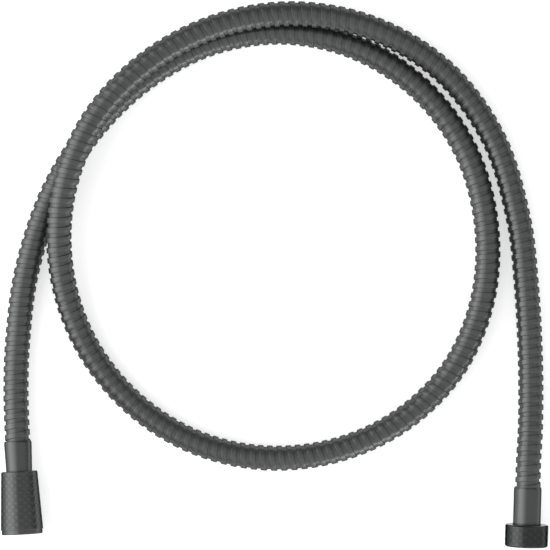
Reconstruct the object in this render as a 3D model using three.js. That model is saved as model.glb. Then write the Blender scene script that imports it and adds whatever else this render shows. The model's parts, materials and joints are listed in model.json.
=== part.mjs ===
// A flexible metal shower hose, lying in one loop on a flat surface. Lengths are in millimetres, +Z is
// up, and the origin is under the middle of the whole hose, on that surface. The outer casing is a
// wound metal strip. A soft tube inside it carries the water. Each end has a nut that turns and slides
// on a smooth sleeve: a long conical one for the hand shower and a short round one for the wall.

import * as THREE from 'three';

// Clearances between pieces.
const seatGap = 0.3;
const runningGap = 0.25;

// Casing and inner tube.
const casingRadius = 7.1;
const casingWall = 1;
const innerTubePlay = 0.35;
const innerTubeWall = 1.35;
const tubeSides = 12;
const tubeSteps = 40;

// Sleeve and crimp ring at each end.
const sleeveLength = 21.6;
const sleeveWall = 1;
const sleeveEdge = 0.35;
const sleeveChamferDepth = 0.55;
const sleeveChamferLength = 1.3;
const crimpRingLength = 10;
const crimpRingWall = 0.35;
const crimpRingSetback = 2.5;

// Hose tail: a flange, a neck, a spigot inside the sleeve and a barbed stem inside the inner tube.
const tailBore = 2.9;
const flangeLip = 1.05;
const flangeThickness = 1.2;
const neckSetback = 0.6;
const spigotLength = 2;
const barbCount = 5;
const barbPitch = 2.9;
const barbDepth = 0.4;

// Sealing washer and slip ring.
const washerThickness = 1.8;
const washerHole = 5;
const slipRingThickness = 0.6;

// The female thread in both nuts, drawn as a plain bore at its crests, with a lead-in at the mouth. The
// bore clears the flange, and with these sizes it is a G1/2 thread's, 18.63 across.
const flangePlay = 0.315;
const threadLeadIn = 0.9;

// Conical nut, for the hand shower.
const coneNut = {
  length: 35,
  socketDepth: 8.5,
  lipWall: 2.035,
  lipLength: 2.6,
  lipStep: 0.45,
  narrowWall: 2.2,
  edge: 0.9,
  lipEdge: 0.4,
  neckLength: 18.2,
  sleeveTaper: 0.5,
};

// Short round nut, for the wall outlet.
const unionNut = {
  length: 12.2,
  socketDepth: 6.4,
  wall: 2.685,
  edge: 0.6,
  neckLength: 1.5,
  sleeveTaper: 0,
};

const roundSides = 40;

// The hose's centreline from the conical nut's sleeve to the round nut's: x, y, and how far the hose is
// lifted off the surface. It goes up the left side, once round, over its own start and down the right.
const routePoints = [
  [-143.7, -92.4, 2.08],
  [-144.4, -79.4, 1.39],
  [-144.8, -63.2, 0.6],
  [-144.0, -38.1, 0.1],
  [-138.8, 2.3, 0],
  [-123.7, 47.3, 0],
  [-100.3, 83.7, 0],
  [-70.1, 111.8, 0],
  [-33.7, 130.3, 0],
  [7.2, 135.7, 0],
  [47.6, 126.2, 0],
  [82.2, 103.1, 0],
  [106.8, 69.4, 0],
  [118.1, 29.3, 0],
  [116.4, -12.5, 0],
  [100.3, -51.6, 0],
  [70.3, -81.5, 0],
  [32.0, -98.6, 0],
  [-9.4, -102.0, 0],
  [-49.3, -91.4, 0],
  [-83.1, -68.1, 0.3],
  [-107.4, -35.1, 2.0],
  [-119.2, 4.3, 7.0],
  [-117.4, 45.6, 13.2],
  [-101.6, 84.4, 14.8],
  [-73.1, 115.7, 14.1],
  [-35.6, 136.8, 13.0],
  [7.9, 145.0, 11.3],
  [52.8, 137.7, 8.1],
  [93.2, 114.4, 3.6],
  [121.9, 76.8, 0.8],
  [136.2, 31.2, 0],
  [140.7, -7.3, 0],
  [142.7, -44.7, 0.5],
  [142.9, -69.8, 1.7],
  [142.4, -87.6, 3.4],
  [141.3, -104.8, 4.9],
  [140.95, -117.9, 4.9],
];

// Radii that follow from one another, from the inner tube outwards.
const innerTubeRadius = casingRadius - casingWall - innerTubePlay;
const innerTubeBore = innerTubeRadius - innerTubeWall;
const crimpRingBore = innerTubeRadius + seatGap;
const crimpRingRadius = crimpRingBore + crimpRingWall;
const sleeveBore = crimpRingRadius + seatGap;
const sleeveRadius = sleeveBore + sleeveWall;
const slidingBore = sleeveRadius + runningGap;
const flangeRadius = slidingBore + flangeLip;
const threadRadius = flangeRadius + flangePlay;
const neckRadius = sleeveRadius - neckSetback;
const spigotRadius = sleeveBore - seatGap;
const barbRadius = innerTubeBore * Math.cos(Math.PI / tubeSides) - seatGap;

const finish = (color, roughness, metalness) => new THREE.MeshStandardMaterial({ color, roughness, metalness });

// A turned piece. The profile lists [radius, distance from the mouth], up the outside and back down the
// inside, and closes on its first point.
function turned(name, profile, material) {
  const points = profile.map(([radius, distance]) => new THREE.Vector2(radius, distance));
  points.push(points[0].clone());
  const mesh = new THREE.Mesh(new THREE.LatheGeometry(points, roundSides), material);
  mesh.name = name;
  return mesh;
}

// A plain ring between two radii.
function ringProfile(bore, radius, start, thickness) {
  const end = start + thickness;
  return [[radius, start], [radius, end], [bore, end], [bore, start]];
}

// The hose's centreline, and the straight run of each sleeve beyond its two ends.
const route = new THREE.CatmullRomCurve3(
  routePoints.map(([x, y, lift]) => new THREE.Vector3(x, y, casingRadius + lift)),
);
route.arcLengthDivisions = 2000;
const routeLength = route.getLength();
const routeStart = route.getPointAt(0);
const routeEnd = route.getPointAt(1);
const startDirection = route.getTangentAt(0);
const endDirection = route.getTangentAt(1);

function pointOnRoute(distance) {
  if (distance < 0) {
    return routeStart.clone().addScaledVector(startDirection, distance);
  }
  if (distance > routeLength) {
    return routeEnd.clone().addScaledVector(endDirection, distance - routeLength);
  }
  return route.getPointAt(distance / routeLength);
}

// A stretch of the route through chosen stations, so that one tube's bends lie inside the other's.
class HoseStretch extends THREE.Curve {
  constructor(stations) {
    super();
    this.stations = stations;
  }

  getPoint(t) {
    const place = t * (this.stations.length - 1);
    const index = Math.min(Math.floor(place), this.stations.length - 2);
    const from = this.stations[index];
    const to = this.stations[index + 1];
    return pointOnRoute(from + (to - from) * (place - index));
  }

  getUtoTmapping(u) {
    return u;
  }
}

function polygon(radius) {
  const corners = [];
  for (let side = 0; side < tubeSides; side += 1) {
    const angle = (side / tubeSides) * 2 * Math.PI;
    corners.push(new THREE.Vector2(radius * Math.cos(angle), radius * Math.sin(angle)));
  }
  return corners;
}

function tube(name, bore, radius, stations, material) {
  const section = new THREE.Shape(polygon(radius));
  section.holes.push(new THREE.Path(polygon(bore)));
  const geometry = new THREE.ExtrudeGeometry(section, {
    steps: stations.length - 1,
    extrudePath: new HoseStretch(stations),
    bevelEnabled: false,
  });
  const mesh = new THREE.Mesh(geometry, material);
  mesh.name = name;
  return mesh;
}

// Places along an end, as distances from the nut's mouth.
function endPlaces(nut) {
  const flangeStart = nut.socketDepth + washerThickness + seatGap;
  const neckStart = flangeStart + flangeThickness;
  const slipRingStart = neckStart + seatGap;
  const shoulder = slipRingStart + slipRingThickness + seatGap;
  const neckEnd = neckStart + nut.neckLength;
  const sleeveStart = neckEnd + seatGap;
  const casingStart = sleeveStart + sleeveLength + seatGap;
  const stemStart = sleeveStart + spigotLength;
  const innerTubeStart = stemStart + seatGap;
  return {
    nutEnd: nut.length,
    flangeStart,
    neckStart,
    slipRingStart,
    shoulder,
    casingStart,
    sleeveStart,
    neckEnd,
    stemStart,
    innerTubeStart,
    crimpRingStart: innerTubeStart + crimpRingSetback,
  };
}

// The inside of a nut, from its far end back to its mouth: the bore that slides on the sleeve, the
// shoulder that pulls on the slip ring, and the threaded socket.
function nutInside(nut, places) {
  return [
    [slidingBore, nut.length],
    [slidingBore, places.shoulder],
    [threadRadius, places.shoulder],
    [threadRadius, threadLeadIn],
    [threadRadius + threadLeadIn, 0],
  ];
}

function coneNutProfile(places) {
  const nut = coneNut;
  const lipRadius = threadRadius + nut.lipWall;
  const narrowRadius = slidingBore + nut.narrowWall;
  return [
    [lipRadius - nut.lipEdge, 0],
    [lipRadius, nut.lipEdge],
    [lipRadius, nut.lipLength],
    [lipRadius + nut.lipStep, nut.lipLength],
    [narrowRadius, nut.length - nut.edge],
    [narrowRadius - nut.edge, nut.length],
    ...nutInside(nut, places),
  ];
}

function unionNutProfile(places) {
  const nut = unionNut;
  const radius = threadRadius + nut.wall;
  return [
    [radius - nut.edge, 0],
    [radius, nut.edge],
    [radius, nut.length - nut.edge],
    [radius - nut.edge, nut.length],
    ...nutInside(nut, places),
  ];
}

// The sleeve is straight inside the nut, may widen from there to the casing, and ends in a chamfer.
function sleeveProfile(places, taper) {
  const start = places.sleeveStart;
  const end = start + sleeveLength;
  const narrow = sleeveRadius - taper;
  return [
    [narrow - sleeveEdge, start],
    [narrow, start + sleeveEdge],
    [narrow, places.nutEnd],
    [sleeveRadius, end - sleeveChamferLength],
    [sleeveRadius - sleeveChamferDepth, end],
    [sleeveBore, end],
    [sleeveBore, start],
  ];
}

// The barbs rise towards the nut, so that the tube goes on easily and can't slip off.
function tailProfile(places) {
  const profile = [
    [flangeRadius, places.flangeStart],
    [flangeRadius, places.neckStart],
    [neckRadius, places.neckStart],
    [neckRadius, places.neckEnd],
    [spigotRadius, places.neckEnd],
    [spigotRadius, places.stemStart],
    [barbRadius - barbDepth, places.stemStart],
  ];
  for (let barb = 0; barb < barbCount; barb += 1) {
    const barbStart = places.stemStart + (barb + 0.5) * barbPitch;
    profile.push([barbRadius - barbDepth, barbStart]);
    profile.push([barbRadius, barbStart]);
    profile.push([barbRadius - barbDepth, barbStart + barbPitch]);
  }
  const stemEnd = places.stemStart + (barbCount + 0.5) * barbPitch;
  return [...withoutRepeats(profile), [tailBore, stemEnd], [tailBore, places.flangeStart]];
}

// Neighbouring barbs share a corner, which the profile holds once.
function withoutRepeats(profile) {
  return profile.filter((point, index) => {
    const last = profile[index - 1];
    return !last || Math.hypot(point[0] - last[0], point[1] - last[1]) > 1e-6;
  });
}

const metal = {
  casing: () => finish(0x5c5d5b, 0.32, 0.9),
  sleeve: () => finish(0x5a5b59, 0.25, 0.9),
  nut: () => finish(0x424443, 0.38, 0.85),
  brass: () => finish(0xb08d57, 0.4, 0.9),
  crimp: () => finish(0xb9bcbe, 0.45, 0.9),
};
const plastic = {
  innerTube: () => finish(0x2a2a2a, 0.7, 0),
  washer: () => finish(0x161616, 0.8, 0),
  slipRing: () => finish(0xe6e4dc, 0.5, 0),
};

// All the pieces of one end, in the frame of its mouth, with the hose along +Y.
function hoseEnd(prefix, places, nutProfile, sleeveTaper) {
  const sleeve = sleeveProfile(places, sleeveTaper);
  const crimpRing = ringProfile(crimpRingBore, crimpRingRadius, places.crimpRingStart, crimpRingLength);
  const slipRing = ringProfile(slidingBore, flangeRadius, places.slipRingStart, slipRingThickness);
  const washerStart = places.flangeStart - seatGap - washerThickness;
  const washer = ringProfile(washerHole, flangeRadius, washerStart, washerThickness);
  const end = new THREE.Group();
  end.add(turned(`${prefix}_nut`, nutProfile, metal.nut()));
  end.add(turned(`${prefix}_washer`, washer, plastic.washer()));
  end.add(turned(`${prefix}_tail`, tailProfile(places), metal.brass()));
  end.add(turned(`${prefix}_slip_ring`, slipRing, plastic.slipRing()));
  end.add(turned(`${prefix}_sleeve`, sleeve, metal.sleeve()));
  end.add(turned(`${prefix}_crimp_ring`, crimpRing, metal.crimp()));
  return end;
}

// An end is laid so that its sleeve meets the casing: its +Y turns to the direction into the hose.
function layEnd(end, casingEnd, intoHose, casingStart) {
  end.position.copy(casingEnd).addScaledVector(intoHose, -casingStart);
  end.quaternion.setFromUnitVectors(new THREE.Vector3(0, 1, 0), intoHose);
  return end;
}

const conePlaces = endPlaces(coneNut);
const unionPlaces = endPlaces(unionNut);
const coneEnd = hoseEnd('cone', conePlaces, coneNutProfile(conePlaces), coneNut.sleeveTaper);
const unionEnd = hoseEnd('union', unionPlaces, unionNutProfile(unionPlaces), unionNut.sleeveTaper);

const casingStations = [];
for (let step = 0; step <= tubeSteps; step += 1) {
  casingStations.push((step / tubeSteps) * routeLength);
}
const innerTubeStations = [
  conePlaces.innerTubeStart - conePlaces.casingStart,
  ...casingStations,
  routeLength + unionPlaces.casingStart - unionPlaces.innerTubeStart,
];

const hose = new THREE.Group();
hose.add(tube('metal_casing', casingRadius - casingWall, casingRadius, casingStations, metal.casing()));
hose.add(tube('inner_tube', innerTubeBore, innerTubeRadius, innerTubeStations, plastic.innerTube()));
hose.add(layEnd(coneEnd, routeStart, startDirection, conePlaces.casingStart));
hose.add(layEnd(unionEnd, routeEnd, endDirection.clone().negate(), unionPlaces.casingStart));

export default hose;
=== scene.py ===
# %% [markdown]
# # A flexible metal shower hose
# The hose is a steel strip wound into a tube, with a smooth sleeve and a nut at each end. The CAD
# model is a plain frame: it says where every piece is and how the nuts move. This script dresses that
# frame. It winds the strip, knurls and threads the nuts, rounds the turned pieces and gives each
# surface its real finish. Lengths are given in millimetres and turned to metres where they meet
# Blender.

# %% Load the frame
import json
import math

import bmesh
import bpy
import numpy as np
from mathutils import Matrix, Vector


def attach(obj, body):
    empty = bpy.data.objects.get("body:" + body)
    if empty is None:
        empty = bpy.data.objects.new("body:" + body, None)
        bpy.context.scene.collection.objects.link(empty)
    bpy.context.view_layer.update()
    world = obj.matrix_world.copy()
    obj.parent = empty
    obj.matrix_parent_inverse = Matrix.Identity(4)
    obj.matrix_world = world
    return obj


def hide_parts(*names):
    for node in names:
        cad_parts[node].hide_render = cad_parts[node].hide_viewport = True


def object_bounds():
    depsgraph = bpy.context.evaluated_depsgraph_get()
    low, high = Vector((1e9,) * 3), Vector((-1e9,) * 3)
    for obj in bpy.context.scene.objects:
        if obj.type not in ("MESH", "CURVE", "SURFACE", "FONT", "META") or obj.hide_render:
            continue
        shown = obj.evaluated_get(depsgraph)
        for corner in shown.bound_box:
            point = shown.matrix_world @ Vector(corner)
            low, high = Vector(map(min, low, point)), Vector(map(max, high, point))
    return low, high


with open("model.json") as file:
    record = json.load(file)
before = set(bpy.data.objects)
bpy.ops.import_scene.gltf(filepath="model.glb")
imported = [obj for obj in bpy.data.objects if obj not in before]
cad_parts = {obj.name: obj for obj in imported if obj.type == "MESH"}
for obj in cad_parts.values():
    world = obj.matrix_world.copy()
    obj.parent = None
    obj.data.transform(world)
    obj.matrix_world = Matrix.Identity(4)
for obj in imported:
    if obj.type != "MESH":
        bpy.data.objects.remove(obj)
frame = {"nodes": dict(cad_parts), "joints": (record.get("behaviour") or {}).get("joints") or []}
cad_low, cad_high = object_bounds()
joints = {joint["name"]: joint for joint in frame["joints"]}
print("nodes:", sorted(frame["nodes"]))
print("joints:", sorted(joints))

# %% [markdown]
# ## The camera
# The photograph looks straight down on the hose from about 1.6 m, with a long lens: the nuts, at the
# lower edge, show only a sliver of their rear faces. A camera with no rotation looks down along -Z with
# +Y at the top of the picture, so only its height and its angle of view have to be set.

# %% Place the camera
MM = 0.001
CAMERA_HEIGHT = 1607.0
HALF_WIDTH_SEEN = 153.8
HOSE_MIDDLE_HEIGHT = 7.0

camera_data = bpy.data.cameras.new("overhead_camera")
camera = bpy.data.objects.new("overhead_camera", camera_data)
bpy.context.scene.collection.objects.link(camera)
camera.location = (0.0, 0.0, CAMERA_HEIGHT * MM)
camera_data.sensor_width = 36.0
camera_data.angle = 2.0 * math.atan(HALF_WIDTH_SEEN / (CAMERA_HEIGHT - HOSE_MIDDLE_HEIGHT))
camera_data.clip_start = 0.05
camera_data.clip_end = 100.0
bpy.context.scene.camera = camera
print("lens:", round(camera_data.lens, 1), "mm")

# %% [markdown]
# ## The hose's route
# A hose lies along one smooth line. The line here is a centripetal cubic spline: it passes through every
# point of the list and never overshoots between them. The points are x, y and how far the hose is lifted
# off the table where it climbs over its own first turn. They are the same points as in the CAD model, so
# the wound strip lies exactly where the plain tube does.

# %% Sample the route
CASING_RADIUS = 7.1
ROUTE = [
    (-143.7, -92.4, 2.08),
    (-144.4, -79.4, 1.39),
    (-144.8, -63.2, 0.6),
    (-144.0, -38.1, 0.1),
    (-138.8, 2.3, 0),
    (-123.7, 47.3, 0),
    (-100.3, 83.7, 0),
    (-70.1, 111.8, 0),
    (-33.7, 130.3, 0),
    (7.2, 135.7, 0),
    (47.6, 126.2, 0),
    (82.2, 103.1, 0),
    (106.8, 69.4, 0),
    (118.1, 29.3, 0),
    (116.4, -12.5, 0),
    (100.3, -51.6, 0),
    (70.3, -81.5, 0),
    (32.0, -98.6, 0),
    (-9.4, -102.0, 0),
    (-49.3, -91.4, 0),
    (-83.1, -68.1, 0.3),
    (-107.4, -35.1, 2.0),
    (-119.2, 4.3, 7.0),
    (-117.4, 45.6, 13.2),
    (-101.6, 84.4, 14.8),
    (-73.1, 115.7, 14.1),
    (-35.6, 136.8, 13.0),
    (7.9, 145.0, 11.3),
    (52.8, 137.7, 8.1),
    (93.2, 114.4, 3.6),
    (121.9, 76.8, 0.8),
    (136.2, 31.2, 0),
    (140.7, -7.3, 0),
    (142.7, -44.7, 0.5),
    (142.9, -69.8, 1.7),
    (142.4, -87.6, 3.4),
    (141.3, -104.8, 4.9),
    (140.95, -117.9, 4.9),
]
SAMPLES_PER_SPAN = 60


def spline_through(points, samples):
    """The curve through the points, as many samples for each span between two of them."""
    around = np.vstack([2 * points[0] - points[1], points, 2 * points[-1] - points[-2]])
    share = np.linspace(0.0, 1.0, samples, endpoint=False)[:, None]
    spans = []
    for a, b, c, d in zip(around, around[1:], around[2:], around[3:]):
        t0, t1, t2 = (np.linalg.norm(side) ** 0.5 for side in (b - a, c - b, d - c))
        start = ((b - a) / t0 - (c - a) / (t0 + t1) + (c - b) / t1) * t1
        end = ((c - b) / t1 - (d - b) / (t1 + t2) + (d - c) / t2) * t1
        bend = -3 * b + 3 * c - 2 * start - end
        spans.append(b + start * share + bend * share**2 + (2 * b - 2 * c + start + end) * share**3)
    return np.vstack([*spans, points[-1:]])


route_points = np.array([(x, y, CASING_RADIUS + lift) for x, y, lift in ROUTE])
line = spline_through(route_points, SAMPLES_PER_SPAN)
line_places = np.concatenate([[0.0], np.cumsum(np.linalg.norm(np.diff(line, axis=0), axis=1))])
ROUTE_LENGTH = line_places[-1]
print("casing, end to end:", round(ROUTE_LENGTH, 1), "mm")

# %% [markdown]
# ## A frame that travels along the route
# To put a shape round the line, each place along it needs three directions: ahead, to the side and up.
# The hose is never upright, so the side direction can always be taken as level, and then nothing
# twists. Beyond both ends the line goes straight on, because there it runs inside the rigid sleeves.

# %% Directions along the route
STRAIGHT_BEYOND = 30.0
ahead = np.gradient(line, line_places, axis=0)
ahead /= np.linalg.norm(ahead, axis=1)[:, None]
line = np.vstack([line[0] - STRAIGHT_BEYOND * ahead[0], line, line[-1] + STRAIGHT_BEYOND * ahead[-1]])
line_places = np.concatenate([[-STRAIGHT_BEYOND], line_places, [ROUTE_LENGTH + STRAIGHT_BEYOND]])
ahead = np.vstack([ahead[0], ahead, ahead[-1]])
sideways = np.cross(ahead, (0.0, 0.0, 1.0))
sideways /= np.linalg.norm(sideways, axis=1)[:, None]
upwards = np.cross(sideways, ahead)


def along(values, places):
    """A quantity that is known at each sample of the route, at any places along it."""
    return np.stack([np.interp(places, line_places, column) for column in values.T], axis=-1)


def around_route(places, radius, angle):
    """Points at a distance from the route's line, at an angle that starts level and turns upwards."""
    level = np.cos(angle)[..., None] * along(sideways, places)
    upright = np.sin(angle)[..., None] * along(upwards, places)
    return along(line, places) + radius[..., None] * (level + upright)


print("samples along the route:", len(line))


# %% [markdown]
# ## Making a mesh from points and faces
# Every piece below ends as a list of points and a list of faces. One helper turns them into an object,
# smooths the shading and keeps real corners sharp. It can also store numbers at the face corners, such
# as the place across the strip, which a material can read later to lay its pattern along the metal.

# %% Mesh helper
SHARP_ANGLE = math.radians(38.0)


def make_piece(name, points, faces, marks_name=None, marks=None, sharp=SHARP_ANGLE):
    """A mesh object from points in millimetres. Marks are three numbers for each corner of a face."""
    mesh = bpy.data.meshes.new(name)
    mesh.from_pydata((np.asarray(points) * MM).tolist(), [], np.asarray(faces).tolist())
    mesh.shade_smooth()
    mesh.set_sharp_from_angle(angle=sharp)
    if marks is not None:
        layer = mesh.attributes.new(marks_name, "FLOAT_VECTOR", "CORNER")
        layer.data.foreach_set("vector", np.asarray(marks, np.float32).ravel())
    piece = bpy.data.objects.new(name, mesh)
    bpy.context.scene.collection.objects.link(piece)
    return piece


# %% [markdown]
# ## The wound casing
# The casing is one steel strip with an S-shaped section. Each turn hooks into the turn before it, which
# makes the hose flexible and gives it raised bands with narrow grooves between them. Repeated rings
# could fake this, but rings don't climb, and a Screw modifier climbs only about a straight axis. Here
# the strip's section is swept along a helix round the route: the angle and the distance grow together,
# so the bands really wind, and they wind right-handed, as in the photograph. A turn is 5.42 mm long, so
# the hose has about 260 of them.

# %% The strip's section
TURN_LENGTH = 5.42
CORNERS_PER_TURN = 25
# Each point is its place across the strip, as a share of a turn, and its depth below the band's top.
STRIP_SECTION = [
    (0.009, 0.250),
    (0.013, 0.154),
    (0.023, 0.073),
    (0.038, 0.019),
    (0.055, 0.0),
    (0.515, 0.0),
    (0.532, 0.019),
    (0.547, 0.073),
    (0.557, 0.154),
    (0.561, 0.250),
    (0.570, 0.84),
    (0.590, 0.85),
    (0.980, 0.85),
    (1.000, 0.84),
]
section_place = np.array([place for place, depth in STRIP_SECTION])
section_radius = CASING_RADIUS - np.array([depth for place, depth in STRIP_SECTION])
print("points across the strip:", len(STRIP_SECTION))

# %% [markdown]
# One column of points is the strip's section at one angle. The columns follow each other at 25 angles a
# turn, and each is a little farther along the route than the one before it. The winding starts a turn
# early and ends late, and the points beyond the casing's ends are pushed back on to them, so both ends
# are cut off square, as a saw leaves them inside the sleeves.

# %% Wind the strip
CASING_INSET = 2.6
first_place = -CASING_INSET
last_place = ROUTE_LENGTH + CASING_INSET
winding_start = first_place - TURN_LENGTH
turns = math.ceil((last_place - winding_start) / TURN_LENGTH) + 2
across = len(STRIP_SECTION)
columns = np.arange(turns * CORNERS_PER_TURN)
turn_count = np.repeat(columns / CORNERS_PER_TURN, across)
place_across = np.tile(section_place, len(columns))
free_place = winding_start + TURN_LENGTH * (turn_count + place_across)
strip_points = around_route(
    np.clip(free_place, first_place, last_place),
    np.tile(section_radius, len(columns)),
    -2.0 * math.pi * turn_count,
)
print("turns:", turns, "points:", len(strip_points))

# %% [markdown]
# Each face joins two columns. The last point of a column is joined to the first point of the column a
# whole turn later, and this closes the wall from turn to turn. The marks keep the place across the
# strip, the turn and the place along the hose at each corner, for the material.

# %% Join neighbouring points into faces
column, step = np.meshgrid(columns[: -CORNERS_PER_TURN - 1], np.arange(across), indexing="ij")
column, step = column.ravel(), step.ravel()
wraps = step == across - 1
next_step = np.where(wraps, 0, step + 1)
next_column = np.where(wraps, column + CORNERS_PER_TURN, column)
strip_faces = np.stack(
    [
        column * across + step,
        (column + 1) * across + step,
        (next_column + 1) * across + next_step,
        next_column * across + next_step,
    ],
    axis=1,
)
places_of_face = free_place[strip_faces]
inside = (places_of_face.max(axis=1) > first_place) & (places_of_face.min(axis=1) < last_place)
next_across = np.where(wraps, 1.0, section_place[next_step])
marks_across = np.stack([section_place[step], section_place[step], next_across, next_across], axis=1)
marks_turn = np.stack([column, column + 1, column + 1, column], axis=1) / CORNERS_PER_TURN
strip_marks = np.stack([marks_across, marks_turn, places_of_face / TURN_LENGTH], axis=2)[inside]
strip_faces = strip_faces[inside]
print("faces on the strip:", len(strip_faces))

# %% [markdown]
# The tube also has an inside, which the rubber tube runs through. Nobody sees it, so it is a plain
# round wall with few corners, and a ring at each end closes the gap between it and the wound outside.

# %% Make the casing
LINER_RADIUS = 6.0
LINER_CORNERS = 12
LINER_STEPS = 240


def grid_faces(rows, sides, closed_rows=False):
    """Faces between the neighbouring points of a grid whose rows each go once round."""
    row_steps = rows if closed_rows else rows - 1
    row, side = np.meshgrid(np.arange(row_steps), np.arange(sides), indexing="ij")
    row, side = row.ravel(), side.ravel()
    next_row, next_side = (row + 1) % rows, (side + 1) % sides
    return np.stack(
        [
            row * sides + side,
            next_row * sides + side,
            next_row * sides + next_side,
            row * sides + next_side,
        ],
        axis=1,
    )


liner_place = np.repeat(np.linspace(first_place, last_place, LINER_STEPS), LINER_CORNERS)
liner_angle = np.tile(np.arange(LINER_CORNERS) * 2.0 * math.pi / LINER_CORNERS, LINER_STEPS)
liner_points = around_route(liner_place, np.full(len(liner_place), LINER_RADIUS), liner_angle)
liner_faces = grid_faces(LINER_STEPS, LINER_CORNERS)[:, ::-1]

used, strip_faces = np.unique(strip_faces, return_inverse=True)
strip_faces = strip_faces.reshape(-1, 4)
casing_points = np.vstack([strip_points[used], liner_points])
casing_faces = np.vstack([strip_faces, liner_faces + len(used)])
casing_marks = np.concatenate([strip_marks, np.zeros((len(liner_faces), 4, 3))])
wound_casing = make_piece("wound_casing", casing_points, casing_faces, "strip", casing_marks)
print("faces on the casing:", len(wound_casing.data.polygons))

# %% [markdown]
# A tube with a wall is closed everywhere. At each end one open edge runs round the outside and one round
# the inside, and bridging the two loops closes the wall between them.

# %% Close the casing's two ends
END_REACH = 4 * CASING_RADIUS
casing_mesh = bmesh.new()
casing_mesh.from_mesh(wound_casing.data)
for end_point in (route_points[0], route_points[-1]):
    middle = Vector(end_point * MM)
    rim = [
        edge
        for edge in casing_mesh.edges
        if edge.is_boundary and (edge.verts[0].co - middle).length < END_REACH * MM
    ]
    bmesh.ops.bridge_loops(casing_mesh, edges=rim)
print("open edges left:", sum(1 for edge in casing_mesh.edges if edge.is_boundary))
casing_mesh.to_mesh(wound_casing.data)
casing_mesh.free()

# %% [markdown]
# ## The rubber tube inside
# The casing isn't tight, so a rubber tube carries the water. It is pushed over a barbed stem at each end
# and follows the same line as the casing, a quarter of a millimetre inside it.

# %% Make the inner tube
TUBE_RADIUS = 5.75
TUBE_BORE = 4.4
TUBE_BEYOND = 19.6
TUBE_CORNERS = 16

tube_place = np.linspace(-TUBE_BEYOND, ROUTE_LENGTH + TUBE_BEYOND, LINER_STEPS)
tube_place = np.concatenate([tube_place, tube_place[::-1]])
tube_radius = np.repeat([TUBE_RADIUS, TUBE_BORE], LINER_STEPS)
tube_angle = np.arange(TUBE_CORNERS) * 2.0 * math.pi / TUBE_CORNERS
inner_tube = make_piece(
    "inner_tube_extruded",
    around_route(
        np.repeat(tube_place, TUBE_CORNERS),
        np.repeat(tube_radius, TUBE_CORNERS),
        np.tile(tube_angle, len(tube_place)),
    ),
    grid_faces(len(tube_place), TUBE_CORNERS, closed_rows=True),
)
print("faces on the inner tube:", len(inner_tube.data.polygons))

# %% [markdown]
# ## The casing is a free hose
# It lies loose on the table in one loop. Traced in the photograph, and taken as the standard 1.5 m from
# mouth to mouth, its bare casing is 1.41 m. It leaves the long conical nut's sleeve and ends in the
# short nut's fitting.

# %% Ride and replace
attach(wound_casing, "hose")
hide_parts("metal_casing")

# %% [markdown]
# ## Turned pieces
# Nuts, sleeves, tails and rings all come from a lathe or a mould, so each is one closed profile carried
# round the end's axis. A Screw modifier could do that too, but here the radius has to change with the
# angle, for the knurl and the thread, so the points are worked out directly. The profile runs up the
# outside, away from the mouth, and back down the inside.

# %% The two ends
TURNED_CORNERS = 96


def end_frame(joint_name):
    """A nut's mouth in millimetres, the way into the hose from it, and two directions across."""
    joint = joints[joint_name]
    axis = np.array(joint["axis"])
    axis = axis / np.linalg.norm(axis)
    side = np.cross(axis, (0.0, 0.0, 1.0))
    side /= np.linalg.norm(side)
    return {
        "mouth": np.array(joint["pos_m"]) / MM,
        "axis": axis,
        "side": side,
        "up": np.cross(side, axis),
    }


cone_end = end_frame("cone_nut_turn")
union_end = end_frame("union_nut_turn")
print("cone mouth:", np.round(cone_end["mouth"], 2), "union mouth:", np.round(union_end["mouth"], 2))


# %% [markdown]
# No real edge is perfectly sharp, and a rounded one catches a line of light. Each corner of a profile
# is written as its radius, its distance from the mouth and its rounding. The rounding says how far from
# the corner the short curve begins and ends that stands for it.

# %% Ease the corners of a profile
EASING_STEPS = 4


def eased(corners):
    """A closed profile with its corners rounded."""
    points = []
    for before, here, after in zip(corners[-1:] + corners[:-1], corners, corners[1:] + corners[:1]):
        corner, easing = np.array(here[:2]), here[2]
        if easing == 0:
            points.append(corner)
            continue
        ways = [np.array(other[:2]) - corner for other in (before, after)]
        start, end = (corner + easing * way / np.hypot(*way) for way in ways)
        for share in np.linspace(0.0, 1.0, EASING_STEPS + 1):
            bend = 2 * share * (1 - share) * corner
            points.append((1 - share) ** 2 * start + bend + share**2 * end)
    return np.array(points)


print("points on a rounded corner:", EASING_STEPS + 1)

# %% [markdown]
# The profile is repeated at each angle round the end's axis, and the copies are joined into faces. The
# marks keep the angle, the height of the relief and the distance from the mouth for the material.

# %% Carry a profile round an axis
def turned(name, end, profile, corners=TURNED_CORNERS, relief=None):
    """A turned piece. Relief gives each point's radius and its height, which the material reads."""
    rows = len(profile)
    turn = np.arange(corners) / corners
    radius = np.repeat(profile[:, :1], corners, axis=1)
    distance = np.repeat(profile[:, 1:2], corners, axis=1)
    height = np.ones_like(radius)
    if relief is not None:
        radius, height = relief(turn[None, :], radius, distance)
    angle = 2.0 * math.pi * turn[None, :, None]
    out = np.cos(angle) * end["side"] + np.sin(angle) * end["up"]
    points = end["mouth"] + distance[..., None] * end["axis"] + radius[..., None] * out
    faces = grid_faces(rows, corners, closed_rows=True)
    turn_marks = np.broadcast_to(turn, radius.shape).ravel()[faces]
    closes_the_turn = (turn_marks == 0) & (turn_marks.max(axis=1, keepdims=True) > 0.5)
    turn_marks = np.where(closes_the_turn, 1.0, turn_marks)
    marks = np.stack([turn_marks, height.ravel()[faces], distance.ravel()[faces]], axis=2)
    return make_piece(name, points.reshape(-1, 3), faces, "lathe", marks)


# %% [markdown]
# ## Sleeves
# A sleeve is a drawn metal cap that is pressed over the hose's end. The nut slides and turns on it. Its
# end towards the casing is rolled in, so that it closes on the wound strip. The long nut's sleeve
# narrows a little towards the nut, as in the photograph, and the other one is straight.

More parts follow.
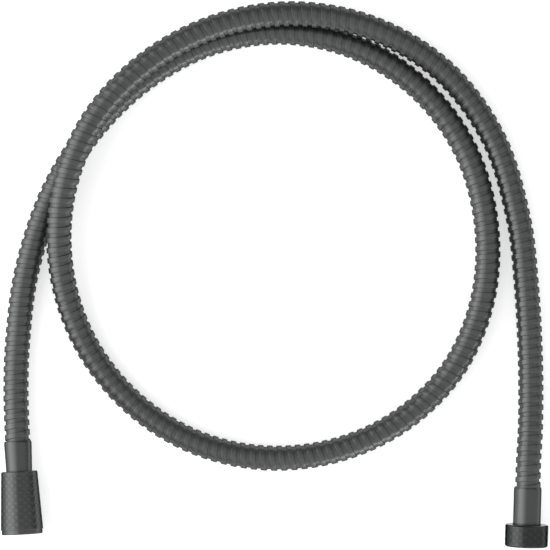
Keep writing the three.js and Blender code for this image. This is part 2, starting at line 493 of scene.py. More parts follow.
# %% Sleeve sizes and places
SLEEVE_RADIUS = 7.7
SLEEVE_BORE = 6.7
SLEEVE_LENGTH = 21.6
SLEEVE_MOUTH_BORE = 7.2
SLEEVE_MOUTH_DEPTH = 3.0
SLEEVE_MOUTH_TAPER = 0.3
SLEEVE_ROLL_LENGTH = 1.0
SLEEVE_ROLL_DEPTH = 0.36
CONE_SLEEVE_START = 30.3
CONE_NUT_END = 35.0
CONE_SLEEVE_NARROW = 7.2
UNION_SLEEVE_START = 11.5
UNION_SLEEVE_MIDDLE = 16.5


def sleeve_profile(start, narrow_radius, narrow_until):
    """The sleeve's profile, from its end inside the nut to its end on the casing."""
    end = start + SLEEVE_LENGTH
    return eased(
        [
            (narrow_radius, start, 0.35),
            (narrow_radius, narrow_until, 0.0),
            (SLEEVE_RADIUS, end - SLEEVE_ROLL_LENGTH, 0.5),
            (SLEEVE_RADIUS - SLEEVE_ROLL_DEPTH, end, 0.12),
            (SLEEVE_MOUTH_BORE, end, 0.05),
            (SLEEVE_MOUTH_BORE, end - SLEEVE_MOUTH_DEPTH, 0.0),
            (SLEEVE_BORE, end - SLEEVE_MOUTH_DEPTH - SLEEVE_MOUTH_TAPER, 0.0),
            (SLEEVE_BORE, start, 0.1),
        ]
    )


cone_sleeve = turned(
    "cone_sleeve_drawn",
    cone_end,
    sleeve_profile(CONE_SLEEVE_START, CONE_SLEEVE_NARROW, CONE_NUT_END),
)
union_sleeve = turned(
    "union_sleeve_drawn",
    union_end,
    sleeve_profile(UNION_SLEEVE_START, SLEEVE_RADIUS, UNION_SLEEVE_MIDDLE),
)
print("sleeve faces:", len(cone_sleeve.data.polygons), len(union_sleeve.data.polygons))

# %% [markdown]
# ## Knurl and thread
# A diamond knurl is two sets of slanting grooves that cross. Each set is a zigzag wave in the angle and
# the distance together, and a point stands as high as the lower of the two waves. The photograph shows
# about 15 diamonds round each nut, each about 3.9 mm tall, and they are soft, so the tops are flat and
# the grooves only 0.055 mm deep. The thread is one groove wound right-handed, 14 turns to the inch, with
# a rounded V as its section. Both are real shapes here, so they catch the light from every side.

# %% Knurl and thread as radii
DIAMONDS_ROUND = 15
DIAMOND_HEIGHT = 3.9
KNURL_DEPTH = 0.055
KNURL_FLATNESS = 1.5
KNURL_FADE = 0.5
STEPS_PER_DIAMOND = 16
KNURL_CORNERS = DIAMONDS_ROUND * STEPS_PER_DIAMOND
THREAD_TURN = 1.814
THREAD_CREST = 9.315
THREAD_ROOT = 10.478
THREAD_LEAD_IN = 10.5
THREAD_STEEPNESS = 1.35
THREAD_CREST_FLAT = 0.15
THREAD_STEPS = 12


def zigzag(value):
    """0 at whole numbers and 1 halfway between them."""
    return 1.0 - np.abs(2.0 * (value - np.floor(value)) - 1.0)


def smooth(share):
    """0 to 1 with a soft start and a soft end."""
    share = np.clip(share, 0.0, 1.0)
    return share * share * (3.0 - 2.0 * share)


def knurl_height(turn, distance):
    """1 on top of a diamond and 0 at the bottom of a groove."""
    rising = zigzag(DIAMONDS_ROUND * turn + distance / DIAMOND_HEIGHT)
    falling = zigzag(DIAMONDS_ROUND * turn - distance / DIAMOND_HEIGHT)
    return smooth(KNURL_FLATNESS * np.minimum(rising, falling))


def thread_radius(turn, distance, thread_end):
    """The bore's radius along the thread, with a lead-in at the mouth and a run-out at its end."""
    groove = smooth(THREAD_STEEPNESS * zigzag(distance / THREAD_TURN + turn) - THREAD_CREST_FLAT)
    fade = smooth((thread_end - distance) / THREAD_TURN)
    wound = THREAD_CREST + (THREAD_ROOT - THREAD_CREST) * groove * fade
    return np.maximum(wound, THREAD_LEAD_IN - distance)


print("corners round a knurled nut:", KNURL_CORNERS)

# %% [markdown]
# A nut's profile needs rows close together where the knurl and the thread are, and only a few elsewhere.
# So it is put together from five stretches: the lip, the knurl, the rear, the bore with its shoulder and
# the thread. The relief then moves only the rows of the knurl and of the thread.

# %% A nut's profile and relief
SLIDING_BORE = 7.95
SOCKET_RADIUS = 9.4
THREAD_RUN_OUT = 0.3
THREAD_STOP = 0.1


def nut_piece(name, end, outside, knurl_from, knurl_to, shoulder, nut_end, thread_end):
    """A nut from the corners of its outside and the places where its parts begin and end."""
    knurl_rows = np.arange(knurl_from[1], knurl_to[1], DIAMOND_HEIGHT / STEPS_PER_DIAMOND)
    knurl_radius = np.interp(knurl_rows, [knurl_from[1], knurl_to[1]], [knurl_from[0], knurl_to[0]])
    thread_rows = np.arange(thread_end, 0.0, -THREAD_TURN / THREAD_STEPS)
    inside = eased(
        [
            (outside[-1][0], nut_end, 0.0),
            (SLIDING_BORE, nut_end, 0.3),
            (SLIDING_BORE, shoulder, 0.15),
            (SOCKET_RADIUS, shoulder, 0.15),
            (SOCKET_RADIUS, thread_end + THREAD_RUN_OUT, 0.0),
            (THREAD_CREST, thread_end + THREAD_STOP, 0.0),
        ]
    )[1:]
    outer = eased([(THREAD_CREST, 0.0, 0.0), *outside, (SLIDING_BORE, nut_end, 0.0)])[1:-1]
    before = outer[outer[:, 1] < knurl_from[1]]
    after = outer[outer[:, 1] > knurl_to[1]]
    profile = np.vstack(
        [
            before,
            np.stack([knurl_radius, knurl_rows], axis=1),
            after,
            inside,
            np.stack([np.full(len(thread_rows), THREAD_CREST), thread_rows], axis=1),
            [[THREAD_LEAD_IN, 0.0]],
        ]
    )
    first_knurl, last_knurl = len(before), len(before) + len(knurl_rows)
    first_thread = len(profile) - len(thread_rows) - 1

    def relief(turn, radius, distance):
        radius, height = radius.copy(), np.ones_like(radius)
        rows = slice(first_knurl, last_knurl)
        fade_in = smooth((distance[rows] - knurl_from[1]) / KNURL_FADE)
        fade_out = smooth((knurl_to[1] - distance[rows]) / KNURL_FADE)
        height[rows] = 1.0 - fade_in * fade_out * (1.0 - knurl_height(turn, distance[rows]))
        radius[rows] -= KNURL_DEPTH * (1.0 - height[rows])
        rows = slice(first_thread, len(radius))
        radius[rows] = thread_radius(turn, distance[rows], thread_end)
        height[rows] = (THREAD_ROOT - radius[rows]) / (THREAD_ROOT - THREAD_CREST)
        return radius, height

    return turned(name, end, profile, corners=KNURL_CORNERS, relief=relief)


# %% [markdown]
# ## The two nuts
# The long nut is a cone, so that it drops into a hand shower's holder. It has a plain lip at its mouth,
# stepped in a little from the knurl. The short nut is a plain knurled drum. Both have a shoulder inside
# that pulls on the slip ring, and the same G1/2 thread in the socket.

# %% Make the nuts
CONE_LIP_RADIUS = 11.35
CONE_LIP_LENGTH = 2.6
CONE_WIDE_RADIUS = 11.8
CONE_NARROW_RADIUS = 10.15
CONE_REAR_BEVEL = 0.55
CONE_KNURL_MARGIN = 0.35
CONE_KNURL_END = 33.6
# Where the knurl starts the cone is already a little narrower, and where it ends still a little wider.
CONE_NARROWED = 0.02
CONE_STILL_WIDER = 0.03
CONE_SHOULDER = 13.0
CONE_THREAD_END = 8.1
UNION_RADIUS = 12.0
UNION_BEVEL = 0.6
UNION_KNURL_MARGIN = 1.1
UNION_NUT_END = 12.2
UNION_SHOULDER = 10.9
UNION_THREAD_END = 6.0

cone_nut = nut_piece(
    "cone_nut_knurled",
    cone_end,
    outside=[
        (CONE_LIP_RADIUS, 0.0, 0.4),
        (CONE_LIP_RADIUS, CONE_LIP_LENGTH, 0.08),
        (CONE_WIDE_RADIUS, CONE_LIP_LENGTH, 0.12),
        (CONE_NARROW_RADIUS, CONE_NUT_END - CONE_REAR_BEVEL, 0.15),
        (CONE_NARROW_RADIUS - CONE_REAR_BEVEL, CONE_NUT_END, 0.08),
    ],
    knurl_from=(CONE_WIDE_RADIUS - CONE_NARROWED, CONE_LIP_LENGTH + CONE_KNURL_MARGIN),
    knurl_to=(CONE_NARROW_RADIUS + CONE_STILL_WIDER, CONE_KNURL_END),
    shoulder=CONE_SHOULDER,
    nut_end=CONE_NUT_END,
    thread_end=CONE_THREAD_END,
)
union_nut = nut_piece(
    "union_nut_knurled",
    union_end,
    outside=[
        (UNION_RADIUS - UNION_BEVEL, 0.0, 0.1),
        (UNION_RADIUS, UNION_BEVEL, 0.15),
        (UNION_RADIUS, UNION_NUT_END - UNION_BEVEL, 0.15),
        (UNION_RADIUS - UNION_BEVEL, UNION_NUT_END, 0.08),
    ],
    knurl_from=(UNION_RADIUS, UNION_KNURL_MARGIN),
    knurl_to=(UNION_RADIUS, UNION_NUT_END - UNION_KNURL_MARGIN),
    shoulder=UNION_SHOULDER,
    nut_end=UNION_NUT_END,
    thread_end=UNION_THREAD_END,
)
print("nut faces:", len(cone_nut.data.polygons), len(union_nut.data.polygons))

# %% [markdown]
# ## Inside the nuts
# A brass tail holds each end together: the nut pulls on its flange, and the rubber tube is clamped on
# its barbs. A plastic slip ring lets the nut turn against the flange while it is tightened, and a rubber
# washer makes the seal. They show through the open mouth and when the nut is slid back.

# %% Tails
FLANGE_RADIUS = 9.0
FLANGE_THICKNESS = 1.2
NECK_RADIUS = 7.1
SPIGOT_RADIUS = 6.4
SPIGOT_LENGTH = 2.3
TAIL_BORE = 2.9
BARB_RADIUS = 3.95
BARB_DEPTH = 0.4
BARB_PITCH = 2.9
BARB_FACE = 0.02
BARBS = 5
CONE_FLANGE_START = 10.6
CONE_NECK_END = 30.0
UNION_FLANGE_START = 8.5
UNION_NECK_END = 11.2


def tail_profile(flange, neck_end):
    """The tail's profile, from its flange to the end of its barbed stem."""
    stem = neck_end + SPIGOT_LENGTH
    corners = [
        (FLANGE_RADIUS, flange, 0.2),
        (FLANGE_RADIUS, flange + FLANGE_THICKNESS, 0.15),
        (NECK_RADIUS, flange + FLANGE_THICKNESS, 0.1),
        (NECK_RADIUS, neck_end, 0.15),
        (SPIGOT_RADIUS, neck_end, 0.05),
        (SPIGOT_RADIUS, stem, 0.3),
        (BARB_RADIUS - BARB_DEPTH, stem, 0.0),
    ]
    for barb in range(BARBS):
        start = stem + (barb + 0.5) * BARB_PITCH
        corners.append((BARB_RADIUS - BARB_DEPTH, start - BARB_FACE, 0.0))
        corners.append((BARB_RADIUS, start, 0.04))
    stem_end = stem + (BARBS + 0.5) * BARB_PITCH
    corners.append((BARB_RADIUS - BARB_DEPTH, stem_end, 0.1))
    corners.append((TAIL_BORE, stem_end, 0.1))
    corners.append((TAIL_BORE, flange, 0.3))
    return eased(corners)


cone_tail = turned("cone_tail_turned", cone_end, tail_profile(CONE_FLANGE_START, CONE_NECK_END))
union_tail = turned("union_tail_turned", union_end, tail_profile(UNION_FLANGE_START, UNION_NECK_END))
print("tail faces:", len(cone_tail.data.polygons), len(union_tail.data.polygons))

# %% [markdown]
# The washers and the slip rings are flat rings as wide as the flange. A washer is soft and well rounded.
# A slip ring is thin, and its bore is the nut's, because it slides over the same sleeve.

# %% Washers and slip rings
WASHER = {"bore": 5.0, "thickness": 1.8, "easing": 0.25}
SLIP_RING = {"bore": SLIDING_BORE, "thickness": 0.6, "easing": 0.12}
# Each ring is its name, the end that it belongs to, its distance from the mouth and its size.
RINGS = [
    ("cone_washer_moulded", cone_end, 8.5, WASHER),
    ("union_washer_moulded", union_end, 6.4, WASHER),
    ("cone_slip_ring_moulded", cone_end, 12.1, SLIP_RING),
    ("union_slip_ring_moulded", union_end, 10.0, SLIP_RING),
]


def flat_ring(name, end, start, size):
    """A flat ring with rounded edges, as wide as the flange. Start is its distance from the mouth."""
    back = start + size["thickness"]
    bore, easing = size["bore"], size["easing"]
    corners = [(FLANGE_RADIUS, start), (FLANGE_RADIUS, back), (bore, back), (bore, start)]
    return turned(name, end, eased([(*corner, easing) for corner in corners]))


cone_washer, union_washer, cone_slip_ring, union_slip_ring = (flat_ring(*ring) for ring in RINGS)
print("ring faces:", len(cone_washer.data.polygons), len(cone_slip_ring.data.polygons))

# %% [markdown]
# ## Which body carries each piece
# The CAD model has five bodies: the hose, and for each end a slip ring that slides and a nut that turns
# on it. Each piece rides on the body of the node that it stands for.

# %% Ride on the bodies
PIECES = [
    (inner_tube, "hose", "inner_tube", "inner_rubber"),
    (cone_sleeve, "hose", "cone_sleeve", "sleeve_steel"),
    (union_sleeve, "hose", "union_sleeve", "sleeve_steel"),
    (cone_tail, "hose", "cone_tail", "tail_brass"),
    (union_tail, "hose", "union_tail", "tail_brass"),
    (cone_washer, "hose", "cone_washer", "washer_rubber"),
    (union_washer, "hose", "union_washer", "washer_rubber"),
    (cone_slip_ring, "cone_ring", "cone_slip_ring", "ring_plastic"),
    (union_slip_ring, "union_ring", "union_slip_ring", "ring_plastic"),
    (cone_nut, "cone_nut", "cone_nut", "nut_brass"),
    (union_nut, "union_nut", "union_nut", "nut_brass"),
]
for piece, body, node, slot in PIECES:
    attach(piece, body)
    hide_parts(node)
print("pieces on bodies:", len(PIECES) + 1)

# %% [markdown]
# ## Building a material
# A material is a small network of nodes. One helper adds any node, sets its options and fills its
# sockets, either with a plain value or with a link from another node. Colours are written as on a paint
# card, in sRGB hex, and one function turns them to the linear values that the shader works with.

# %% Colour and node helpers
def linear(colour):
    """An sRGB hex colour as linear red, green, blue and alpha."""
    channels = [int(colour[place:place + 2], 16) / 255.0 for place in (1, 3, 5)]
    return (*[c / 12.92 if c <= 0.04045 else ((c + 0.055) / 1.055) ** 2.4 for c in channels], 1.0)


def add(tree, kind, settings=None, inputs=None):
    """Adds a node. An input's value is linked if it is a socket and set if it is anything else."""
    node = tree.nodes.new(kind)
    for name, value in (settings or {}).items():
        setattr(node, name, value)
    for name, value in (inputs or {}).items():
        if isinstance(value, bpy.types.NodeSocket):
            tree.links.new(value, node.inputs[name])
        else:
            node.inputs[name].default_value = value
    return node


def new_material(name, **sockets):
    """A material with one Principled shader, and its node tree."""
    material = bpy.data.materials.new(name)
    material.use_nodes = True
    tree = material.node_tree
    tree.nodes.clear()
    values = {socket.replace("_", " "): value for socket, value in sockets.items()}
    shader = add(tree, "ShaderNodeBsdfPrincipled", inputs=values)
    output = add(tree, "ShaderNodeOutputMaterial", inputs={"Surface": shader.outputs[0]})
    output.is_active_output = True
    return material, tree, shader


def per_metre(size_mm):
    """The scale of a noise whose spots are about that size."""
    return 1.0 / (size_mm * MM)


print("mid grey #808080 is", round(linear("#808080")[0], 3), "in linear light")

# %% [markdown]
# ## Graphite PVD on rolled steel: the casing
# The strip is stainless steel, rolled bright and then coated in a vacuum chamber with a few thousandths
# of a millimetre of dark metal nitride, which is called a PVD coating. To the eye it is a dark, neutral
# metal that mirrors the room softly. Rolling leaves faint lines along the strip, and the grooves stay a
# little duller than the rubbed bands. The grooves are also painted a little darker than the bands, as
# painted shade. Metallic is 0.8 and not 1, so a fifth of the surface
# acts as a matt paint of the same dark colour. That share is fitted to the photograph, where the deep
# places between two strands aren't black.

# %% Casing material
GRAPHITE = "#5d5e5d"
GRAPHITE_EDGE = "#8c9090"
BAND_MIDDLE = 0.28
STREAK_WIDTH = 0.12
STREAK_LENGTH = 6.0
CLOUD_SIZE = 35.0
TURN_ROUND = 2.0 * math.pi * CASING_RADIUS

casing_metal, tree, shader = new_material(
    "graphite_pvd_on_rolled_steel", Metallic=0.8, Specular_Tint=linear(GRAPHITE_EDGE)
)
marks = add(tree, "ShaderNodeAttribute", {"attribute_name": "strip"})
across_strip = add(tree, "ShaderNodeSeparateXYZ", inputs={0: marks.outputs["Vector"]})
angle = add(
    tree,
    "ShaderNodeMath",
    {"operation": "MULTIPLY_ADD"},
    {0: across_strip.outputs["X"], 1: 2.0 * math.pi, 2: -2.0 * math.pi * BAND_MIDDLE},
)
wave = add(tree, "ShaderNodeMath", {"operation": "COSINE"}, {0: angle.outputs[0]})
band = add(
    tree,
    "ShaderNodeMapRange",
    {"interpolation_type": "SMOOTHSTEP"},
    {"Value": wave.outputs[0], "From Min": -0.45, "From Max": 0.15, "To Min": 0.0, "To Max": 1.0},
)
place = add(tree, "ShaderNodeTexCoord")
cloud = add(
    tree,
    "ShaderNodeTexNoise",
    inputs={"Vector": place.outputs["Object"], "Scale": per_metre(CLOUD_SIZE), "Detail": 2.0},
)
cloud_tone = add(
    tree,
    "ShaderNodeMapRange",
    inputs={"Value": cloud.outputs[0], "To Min": 0.94, "To Max": 1.06},
)
# Painted shade: the colour in the grooves is 7% darker than on the bands.
painted_groove_shade = add(
    tree,
    "ShaderNodeMapRange",
    inputs={"Value": band.outputs[0], "To Min": 0.93, "To Max": 1.0},
)
tone = add(
    tree,
    "ShaderNodeMath",
    {"operation": "MULTIPLY"},
    {0: cloud_tone.outputs[0], 1: painted_groove_shade.outputs[0]},
)
colour = add(
    tree,
    "ShaderNodeVectorMath",
    {"operation": "SCALE"},
    {0: linear(GRAPHITE)[:3], "Scale": tone.outputs[0]},
)
tree.links.new(colour.outputs[0], shader.inputs["Base Color"])
print("nodes for the casing's colour:", len(tree.nodes))

# %% [markdown]
# The rolling lines follow the strip, so their noise is read from the strip's own marks and not from
# space: it is stretched to 6 mm along the strip and 0.12 mm across it. The real lines are finer still,
# and are drawn this coarse so that they show. They vary the roughness and make a very shallow bump.

# %% Rolling lines on the strip
streak_scale = add(
    tree,
    "ShaderNodeVectorMath",
    {"operation": "MULTIPLY"},
    {0: marks.outputs["Vector"], 1: (TURN_LENGTH / STREAK_WIDTH, TURN_ROUND / STREAK_LENGTH, 0.0)},
)
streaks = add(
    tree,
    "ShaderNodeTexNoise",
    inputs={"Vector": streak_scale.outputs[0], "Scale": 1.0, "Detail": 3.0},
)
dull = add(
    tree,
    "ShaderNodeMapRange",
    inputs={
        "Value": streaks.outputs[0],
        "From Min": 0.3,
        "From Max": 0.7,
        "To Min": 0.27,
        "To Max": 0.33,
    },
)
duller_groove = add(
    tree,
    "ShaderNodeMapRange",
    inputs={"Value": band.outputs[0], "To Min": 0.04, "To Max": 0.0},
)
roughness = add(
    tree,
    "ShaderNodeMath",
    {"operation": "ADD"},
    {0: dull.outputs[0], 1: duller_groove.outputs[0]},
)
tree.links.new(roughness.outputs[0], shader.inputs["Roughness"])
bump = add(
    tree,
    "ShaderNodeBump",
    inputs={"Height": streaks.outputs[0], "Strength": 0.25, "Distance": 0.01 * MM},
)
tree.links.new(bump.outputs[0], shader.inputs["Normal"])
wound_casing.data.materials.append(casing_metal)
print("nodes in the casing's material:", len(tree.nodes))

# %% [markdown]
# ## Graphite PVD on turned and knurled brass: sleeves and nuts
# The sleeves and nuts seem to have the same coating over turned metal. The photograph shows them in
# slightly different tones, the short nut darkest, so the sleeves and each nut have a colour and a
# roughness fitted to it. A lathe leaves very fine rings round the piece, so the streaks run round it
# instead of along a strip. They are finer than a pixel here, and are drawn 0.15 mm wide so that they
# show close up. On the nuts the bottoms of the knurl's and the thread's grooves are painted darker than
# their tops, as painted shade. The photograph has a thin light line on each nut's flat rear face, so
# that face is
# taken as ground: there the metal reflects fully at a glance.

# %% Coated turned metal
RING_WIDTH = 0.15
RING_LENGTH = 9.0
TURNED_CLOUD_SIZE = 12.0
GROUND_EDGE = 0.02


def turned_metal(name, colour, radius, finish_range, groove_shade_tone, edge_colour, ground_from=None):
    """Metal from a lathe. The finish is the least and the most roughness between the fine rings.

    The groove tone is how bright the bottom of a groove is painted against its top, as painted shade.
    What lies farther from the mouth than ground_from is ground flat.
    """
    material, tree, shader = new_material(name, Metallic=1.0, Specular_Tint=linear(edge_colour))
    marks = add(tree, "ShaderNodeAttribute", {"attribute_name": "lathe"})
    parts = add(tree, "ShaderNodeSeparateXYZ", inputs={0: marks.outputs["Vector"]})
    place = add(tree, "ShaderNodeTexCoord")
    ring_scale = add(
        tree,
        "ShaderNodeVectorMath",
        {"operation": "MULTIPLY"},
        {0: marks.outputs["Vector"], 1: (2 * math.pi * radius / RING_LENGTH, 0.0, 1.0 / RING_WIDTH)},
    )
    rings = add(
        tree,
        "ShaderNodeTexNoise",
        inputs={"Vector": ring_scale.outputs[0], "Scale": 1.0, "Detail": 2.0},
    )
    cloud = add(
        tree,
        "ShaderNodeTexNoise",
        inputs={
            "Vector": place.outputs["Object"],
            "Scale": per_metre(TURNED_CLOUD_SIZE),
            "Detail": 2.0,
        },
    )
    cloud_tone = add(
        tree,
        "ShaderNodeMapRange",
        inputs={"Value": cloud.outputs[0], "To Min": 0.95, "To Max": 1.05},
    )
    # Painted shade: the bottoms of the knurl's and the thread's grooves are painted darker than their
    # tops.
    relief_shade_tone = add(
        tree,
        "ShaderNodeMapRange",
        inputs={"Value": parts.outputs["Y"], "To Min": groove_shade_tone},
    )
    tone = add(
        tree,
        "ShaderNodeMath",
        {"operation": "MULTIPLY"},
        {0: cloud_tone.outputs[0], 1: relief_shade_tone.outputs[0]},
    )
    tinted = add(
        tree,
        "ShaderNodeVectorMath",
        {"operation": "SCALE"},
        {0: linear(colour)[:3], "Scale": tone.outputs[0]},
    )
    finish = add(
        tree,
        "ShaderNodeMapRange",
        inputs={
            "Value": rings.outputs[0],
            "From Min": 0.3,
            "From Max": 0.7,
            "To Min": finish_range[0],
            "To Max": finish_range[1],
        },
    )
    bump = add(
        tree,
        "ShaderNodeBump",
        inputs={"Height": rings.outputs[0], "Strength": 0.2, "Distance": 0.01 * MM},
    )
    tree.links.new(tinted.outputs[0], shader.inputs["Base Color"])
    tree.links.new(finish.outputs[0], shader.inputs["Roughness"])
    tree.links.new(bump.outputs[0], shader.inputs["Normal"])
    if ground_from is not None:
        ground = add(
            tree,
            "ShaderNodeMapRange",
            inputs={
                "Value": parts.outputs["Z"],
                "From Min": ground_from,
                "From Max": ground_from + GROUND_EDGE,
            },
        )
        edge = add(
            tree,
            "ShaderNodeMixRGB",
            inputs={
                "Fac": ground.outputs[0],
                "Color1": linear(edge_colour),
                "Color2": linear("#ffffff"),
            },
        )
        tree.links.new(edge.outputs[0], shader.inputs["Specular Tint"])
    return material


SLEEVE_GRAPHITE = "#595a59"
NUT_GRAPHITE = "#575857"
SHORT_NUT_GRAPHITE = "#424342"
# The bottoms of the knurl's and the thread's grooves are painted at 0.8 of their tops' brightness, as
# painted shade.
KNURL_GROOVE_SHADE = 0.8
GROUND_DEPTH = 0.04
sleeve_metal = turned_metal(
    "graphite_pvd_on_drawn_steel",
    SLEEVE_GRAPHITE,
    SLEEVE_RADIUS,
    finish_range=(0.28, 0.34),
    groove_shade_tone=1.0,
    edge_colour=GRAPHITE_EDGE,
)
cone_nut_metal = turned_metal(
    "graphite_pvd_on_knurled_brass",
    NUT_GRAPHITE,
    CONE_WIDE_RADIUS,
    finish_range=(0.25, 0.32),
    groove_shade_tone=KNURL_GROOVE_SHADE,
    edge_colour=GRAPHITE_EDGE,
    ground_from=CONE_NUT_END - GROUND_DEPTH,
)
union_nut_metal = turned_metal(
    "graphite_pvd_on_knurled_brass_short",
    SHORT_NUT_GRAPHITE,
    UNION_RADIUS,
    finish_range=(0.19, 0.25),
    groove_shade_tone=KNURL_GROOVE_SHADE,
    edge_colour=GRAPHITE_EDGE,
    ground_from=UNION_NUT_END - GROUND_DEPTH,
)
for piece, material in (
    (cone_sleeve, sleeve_metal),
    (union_sleeve, sleeve_metal),
    (cone_nut, cone_nut_metal),
    (union_nut, union_nut_metal),
):
    piece.data.materials.append(material)
print("coated metals:", sleeve_metal.name, cone_nut_metal.name, union_nut_metal.name)

# %% [markdown]
# ## Turned brass and pressed aluminium
# The tails are plain free-cutting brass as it comes off the lathe: warm yellow, with fine rings that
# spread the shine across them. Nothing coats them, because they are inside. The crimp rings are pressed
# aluminium, light grey and dull from the press. Their CAD shapes are right, so they keep them and only
# get this material.

# %% Brass and aluminium
BRASS = "#c7a25c"
BRASS_EDGE = "#f2e2b4"
ALUMINIUM = "#c3c6c8"
ALUMINIUM_EDGE = "#f0f0f0"
PRESS_MARK_SIZE = 1.5
brass = turned_metal(
    "turned_brass",
    BRASS,
    NECK_RADIUS,
    finish_range=(0.28, 0.42),
    groove_shade_tone=1.0,
    edge_colour=BRASS_EDGE,
)
aluminium, tree, shader = new_material(
    "pressed_aluminium", Metallic=1.0, Specular_Tint=linear(ALUMINIUM_EDGE), Roughness=0.42
)
place = add(tree, "ShaderNodeTexCoord")
press_marks = add(
    tree,
    "ShaderNodeTexNoise",
    inputs={"Vector": place.outputs["Object"], "Scale": per_metre(PRESS_MARK_SIZE), "Detail": 3.0},
)
press_tone = add(
    tree,
    "ShaderNodeMapRange",
    inputs={"Value": press_marks.outputs[0], "To Min": 0.85, "To Max": 1.0},
)
pressed = add(
    tree,
    "ShaderNodeVectorMath",
    {"operation": "SCALE"},
    {0: linear(ALUMINIUM)[:3], "Scale": press_tone.outputs[0]},
)
tree.links.new(pressed.outputs[0], shader.inputs["Base Color"])
for piece in (cone_tail, union_tail):
    piece.data.materials.append(brass)
for node in ("cone_crimp_ring", "union_crimp_ring"):
    frame["nodes"][node].material_slots[0].material = aluminium
print("nodes in the brass:", len(brass.node_tree.nodes), "in the aluminium:", len(tree.nodes))

# %% [markdown]
# ## Rubber and plastic
# The washers are moulded EPDM rubber and the inner tube is extruded EPDM. Both are black and matt, with
# a grain of about 0.3 mm that keeps them from looking like plastic. The slip rings are moulded acetal:
# white, waxy and a little glossy.

# %% Soft and white pieces
def moulded(name, colour, roughness, grain_mm, grain_depth_mm, tone_low):
    """A moulded or extruded material with a fine grain, darker where the grain is low."""
    material, tree, shader = new_material(name, Roughness=roughness)
    place = add(tree, "ShaderNodeTexCoord")
    grain = add(
        tree,
        "ShaderNodeTexNoise",
        inputs={"Vector": place.outputs["Object"], "Scale": per_metre(grain_mm), "Detail": 3.0},
    )
    grain_tone = add(
        tree,
        "ShaderNodeMapRange",
        inputs={"Value": grain.outputs[0], "To Min": tone_low},
    )
    tinted = add(
        tree,
        "ShaderNodeVectorMath",
        {"operation": "SCALE"},
        {0: linear(colour)[:3], "Scale": grain_tone.outputs[0]},
    )
    bump = add(
        tree,
        "ShaderNodeBump",
        inputs={"Height": grain.outputs[0], "Strength": 0.4, "Distance": grain_depth_mm * MM},
    )
    tree.links.new(tinted.outputs[0], shader.inputs["Base Color"])
    tree.links.new(bump.outputs[0], shader.inputs["Normal"])
    return material


washer_rubber = moulded("moulded_epdm_rubber", "#262626", 0.62, 0.3, 0.03, 0.7)
tube_rubber = moulded("extruded_epdm_rubber", "#2c2c2b", 0.7, 0.4, 0.03, 0.75)
acetal = moulded("moulded_acetal", "#e6e3da", 0.38, 0.6, 0.005, 0.93)
for piece, material in (
    (cone_washer, washer_rubber),
    (union_washer, washer_rubber),
    (cone_slip_ring, acetal),
    (union_slip_ring, acetal),
):
    piece.data.materials.append(material)
inner_tube.data.materials.append(tube_rubber)
print("materials so far:", sorted(material.name for material in bpy.data.materials))

# %% [markdown]
# ## Table and light
# The hose lies on a plain white table. A camera, a mirror or a glass sees the table a little brighter
# than its light makes it, which turns it to the white of the photograph and keeps the shadow on it.

# %% The table
TABLE_WHITE = "#f7f7f6"
TABLE_LIFT = 0.5
TABLE_HALF = 12.0
table_material = bpy.data.materials.new("white_table")
table_material.use_nodes = True
tree = table_material.node_tree
tree.nodes.clear()
seen = add(tree, "ShaderNodeLightPath")
camera_or_mirror = add(
    tree,
    "ShaderNodeMath",
    {"operation": "MAXIMUM"},
    {0: seen.outputs["Is Camera Ray"], 1: seen.outputs["Is Glossy Ray"]},
)
any_view = add(
    tree,
    "ShaderNodeMath",
    {"operation": "MAXIMUM"},
    {0: camera_or_mirror.outputs[0], 1: seen.outputs["Is Transmission Ray"]},
)
lift = add(
    tree,
    "ShaderNodeMath",
    {"operation": "MULTIPLY"},
    {0: any_view.outputs[0], 1: TABLE_LIFT},
)
glow = add(
    tree,
    "ShaderNodeEmission",
    inputs={"Color": linear("#ffffff"), "Strength": lift.outputs[0]},
)
paper = add(tree, "ShaderNodeBsdfDiffuse", inputs={"Color": linear(TABLE_WHITE)})
both = add(tree, "ShaderNodeAddShader", inputs={0: paper.outputs[0], 1: glow.outputs[0]})
add(tree, "ShaderNodeOutputMaterial", inputs={"Surface": both.outputs[0]})

table_height = cad_low.z
table_mesh = bpy.data.meshes.new("table")
table_mesh.from_pydata(
    [(x * TABLE_HALF, y * TABLE_HALF, table_height) for x, y in ((-1, -1), (1, -1), (1, 1), (-1, 1))],
    [],
    [(0, 1, 2, 3)],
)
table = bpy.data.objects.new("table", table_mesh)
bpy.context.scene.collection.objects.link(table)
table_mesh.materials.append(table_material)
print("the table lies at", round(table_height / MM, 2), "mm")

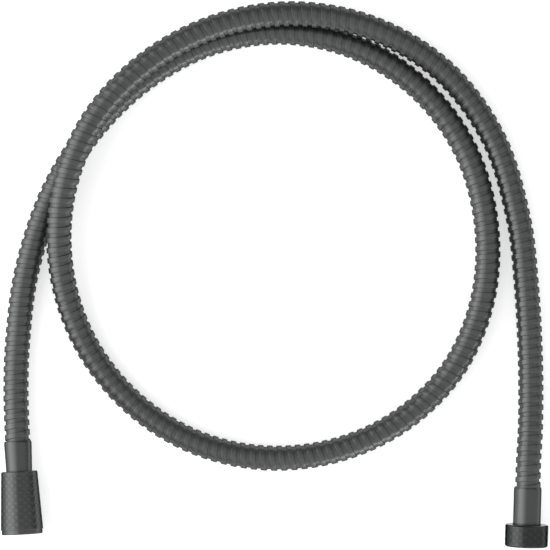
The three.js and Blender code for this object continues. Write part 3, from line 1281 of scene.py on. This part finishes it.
# %% [markdown]
# A dark metal shows its lights as a mirror does, so each softbox is there for one streak in the picture.
# The main light stands low on the left and draws the long highlight down the left third of each upright
# strand. It is three softboxes that overlap, so that the highlight fades instead of ending at an edge. A
# low one at the lower right gives the thin light lines on the ribs' lower edges. Two large weak ones
# above and in front lift the dark side, and the room adds an even grey.

# %% Softboxes and the room
def softbox(name, azimuth, elevation, distance, width, height, brightness):
    """A rectangular lamp that faces the hose. Brightness is what a mirror sees in it, 1 for white."""
    lamp_data = bpy.data.lights.new(name, "AREA")
    lamp_data.shape = "RECTANGLE"
    lamp_data.size = width
    lamp_data.size_y = height
    lamp_data.energy = brightness * math.pi * width * height
    lamp = bpy.data.objects.new(name, lamp_data)
    bpy.context.scene.collection.objects.link(lamp)
    flat = math.cos(math.radians(elevation))
    direction = Vector(
        (
            flat * math.cos(math.radians(azimuth)),
            flat * math.sin(math.radians(azimuth)),
            math.sin(math.radians(elevation)),
        )
    )
    lamp.location = distance * direction
    lamp.rotation_mode = "QUATERNION"
    lamp.rotation_quaternion = (-direction).to_track_quat("-Z", "Y")
    return lamp


softbox("left_softbox", 178.0, 24.0, 2.0, 2.4, 1.6, 1.3)
softbox("left_wide_softbox", 176.0, 31.0, 2.0, 3.0, 2.9, 1.0)
softbox("left_upper_softbox", 160.0, 60.0, 2.2, 3.4, 1.1, 0.35)
softbox("low_right_softbox", -52.0, 8.0, 2.0, 2.13, 0.56, 3.6)
softbox("overhead_softbox", -50.0, 51.0, 2.0, 5.1, 5.5, 0.41)
softbox("front_softbox", -95.0, 40.0, 2.0, 2.0, 2.0, 0.2)
world = bpy.data.worlds.new("grey_room")
world.use_nodes = True
world.node_tree.nodes["Background"].inputs["Color"].default_value = linear("#989a9b")
world.node_tree.nodes["Background"].inputs["Strength"].default_value = 1.0
bpy.context.scene.world = world
bpy.context.scene.view_settings.view_transform = "Standard"
print("softboxes:", len(bpy.data.lights))

# %% Print the CAD box
print("CAD box:", [round(v / MM, 2) for v in (*cad_low, *cad_high)])
